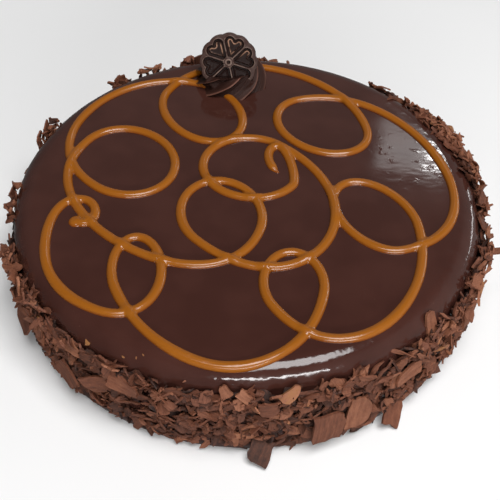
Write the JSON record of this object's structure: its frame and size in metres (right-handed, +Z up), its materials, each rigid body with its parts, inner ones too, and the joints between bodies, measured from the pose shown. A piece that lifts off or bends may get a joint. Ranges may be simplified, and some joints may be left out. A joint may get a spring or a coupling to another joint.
{
  "type": "salted caramel cake",
  "caption": "Round glazed torte with looped piped caramel on top, chocolate shavings round its side, and a rosette that holds a moulded chocolate disc.",
  "frame": {"origin": "middle of the cake's round base, on the surface it stands on", "axes": "+Z up; -Y towards the front of the cake, opposite the rosette; +X to the right seen from the front"},
  "size_m": [0.2524, 0.2506, 0.083],
  "materials": {
    "glaze": "very dark reddish brown mirror glaze, with glossy amber caramel on its top and matt milk-brown chocolate shavings on its side",
    "cream": "dark chocolate cream, soft satin sheen, thin ridges",
    "moulded_chocolate": "very dark moulded chocolate with a soft grey sheen"
  },
  "bodies": {
    "root": {"cake": "glaze", "rosette": "cream", "wheel": "moulded_chocolate"}
  },
  "joints": []
}
